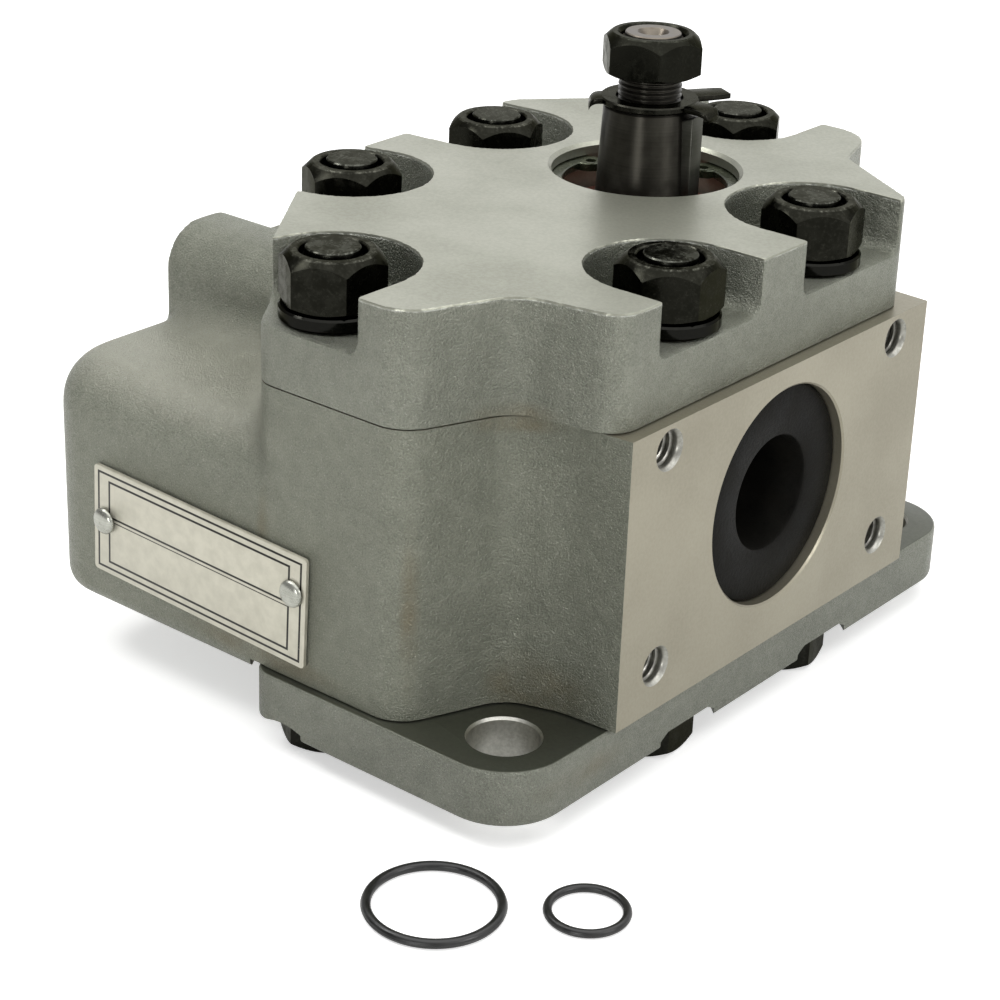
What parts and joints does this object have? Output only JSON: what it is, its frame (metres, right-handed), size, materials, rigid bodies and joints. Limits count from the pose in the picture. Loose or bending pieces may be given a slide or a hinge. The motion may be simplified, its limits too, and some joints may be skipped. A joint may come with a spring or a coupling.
{
  "type": "hydraulic gear pump",
  "caption": "Hydraulic gear pump with cast body between bolted covers, flanged inlet port, keyed taper drive shaft with nut, plugged ports and loose port seals beside it.",
  "frame": {"origin": "on the flat mounting face of the rear cover, midway between the two gear axes", "axes": "+Z along the drive shaft towards its nut, +X out of the inlet port, +Y from the driven gear to the drive gear"},
  "size_m": [0.1616, 0.1975, 0.133],
  "materials": {
    "cast_aluminium": "sand cast",
    "machined_aluminium": "machined top, cast sides",
    "black_oxide_steel": "black oxide",
    "dark_steel": "ground",
    "bright_steel": "bright",
    "spring_steel": "olive phosphate",
    "plate_aluminium": "bare plate",
    "bearing_alloy": "machined",
    "liner_bronze": "bronze bush",
    "black_plastic": "moulded",
    "black_rubber": "nitrile",
    "seal_rubber": "red-brown elastomer"
  },
  "bodies": {
    "casing": {"pump_body": "cast_aluminium", "rear_cover": "cast_aluminium", "drive_cover": "machined_aluminium", "through_bolt_front_left": "black_oxide_steel", "through_bolt_front_right": "black_oxide_steel", "through_bolt_end_right": "black_oxide_steel", "through_bolt_back_right": "black_oxide_steel", "through_bolt_back_left": "black_oxide_steel", "through_bolt_end_left": "black_oxide_steel", "casing_nut_front_left": "black_oxide_steel", "casing_nut_front_right": "black_oxide_steel", "casing_nut_end_right": "black_oxide_steel", "casing_nut_back_right": "black_oxide_steel", "casing_nut_back_left": "black_oxide_steel", "casing_nut_end_left": "black_oxide_steel", "spring_washer_front_left": "black_oxide_steel", "spring_washer_front_right": "black_oxide_steel", "spring_washer_end_right": "black_oxide_steel", "spring_washer_back_right": "black_oxide_steel", "spring_washer_back_left": "black_oxide_steel", "spring_washer_end_left": "black_oxide_steel", "drive_bearing_block_lower": "bearing_alloy", "drive_bearing_block_upper": "bearing_alloy", "driven_bearing_block_lower": "bearing_alloy", "driven_bearing_block_upper": "bearing_alloy", "drive_bush_lower": "liner_bronze", "drive_bush_upper": "liner_bronze", "driven_bush_lower": "liner_bronze", "driven_bush_upper": "liner_bronze", "body_seal_lower": "black_rubber", "body_seal_upper": "black_rubber", "shaft_seal": "seal_rubber", "seal_circlip": "spring_steel", "dowel_lower_left": "bright_steel", "dowel_lower_right": "bright_steel", "dowel_upper_left": "bright_steel", "dowel_upper_right": "bright_steel", "name_plate": "plate_aluminium", "drive_rivet_left": "bright_steel", "drive_rivet_right": "bright_steel", "large_port_ring": "black_rubber", "small_port_ring": "black_rubber"},
    "drive_shaft": {"drive_gear_shaft": "dark_steel", "woodruff_key": "dark_steel", "tab_washer": "black_oxide_steel", "shaft_nut": "black_oxide_steel"},
    "driven_shaft": {"driven_gear_shaft": "dark_steel"},
    "inlet_cap": {"inlet_plug": "black_plastic"},
    "outlet_cap": {"outlet_plug": "black_plastic"}
  },
  "joints": [
    {"name": "drive_shaft_spin", "type": "hinge", "parent": "casing", "child": "drive_shaft", "pos_m": [0, 0.0237, 0.05], "axis": [0, 0, 1], "continuous": true},
    {"name": "driven_gear_spin", "type": "hinge", "parent": "casing", "child": "driven_shaft", "pos_m": [0, -0.0237, 0.05], "axis": [0, 0, 1], "continuous": true},
    {"name": "inlet_plug_pull", "type": "slide", "parent": "casing", "child": "inlet_cap", "axis": [1, 0, 0], "range_m": [0, 0.03]},
    {"name": "outlet_plug_pull", "type": "slide", "parent": "casing", "child": "outlet_cap", "axis": [-1, 0, 0], "range_m": [0, 0.03]}
  ],
  "couplings": [
    {"joint": "driven_gear_spin", "follows": "drive_shaft_spin", "ratio": -1}
  ]
}
